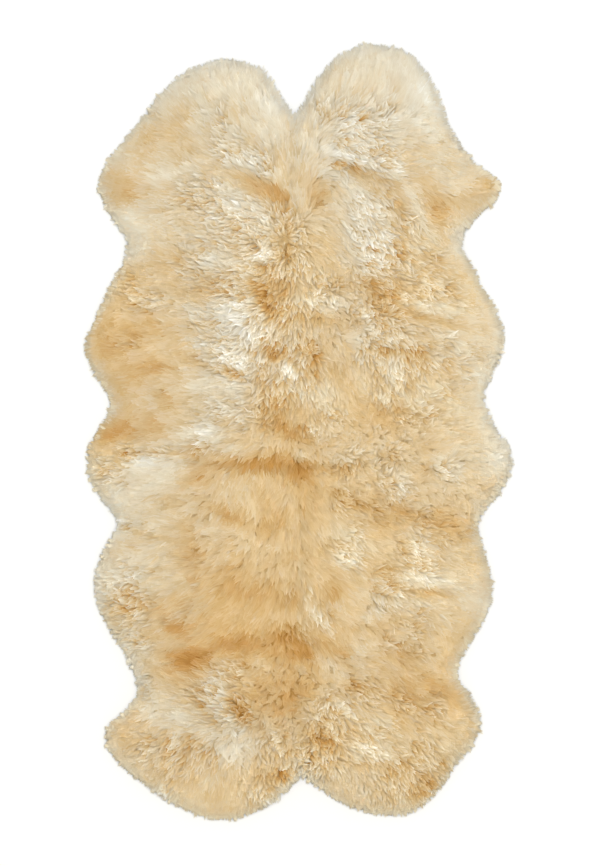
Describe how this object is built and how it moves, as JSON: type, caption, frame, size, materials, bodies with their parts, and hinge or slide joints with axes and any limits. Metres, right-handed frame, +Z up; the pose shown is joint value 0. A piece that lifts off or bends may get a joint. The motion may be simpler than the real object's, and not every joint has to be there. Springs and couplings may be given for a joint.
{
  "type": "sheepskin rug",
  "caption": "Long-wool sheepskin rug of pelts sewn edge to edge, two wide and two long, lying flat with a wavy natural outline and honey-cream wool.",
  "frame": {"origin": "middle of the rug's footprint, on the floor", "axes": "+Z up out of the wool, +Y along the rug towards the heads of the upper pair, +X to the right in a plan view"},
  "size_m": [1.0096, 1.8268, 0.0605],
  "materials": {
    "wool": "long soft pile, matt",
    "hide": "suede, matt",
    "thread": "matt"
  },
  "bodies": {
    "root": {"pelt_upper_left": "wool", "pelt_upper_right": "wool", "pelt_lower_left": "wool", "pelt_lower_right": "wool"}
  },
  "joints": []
}
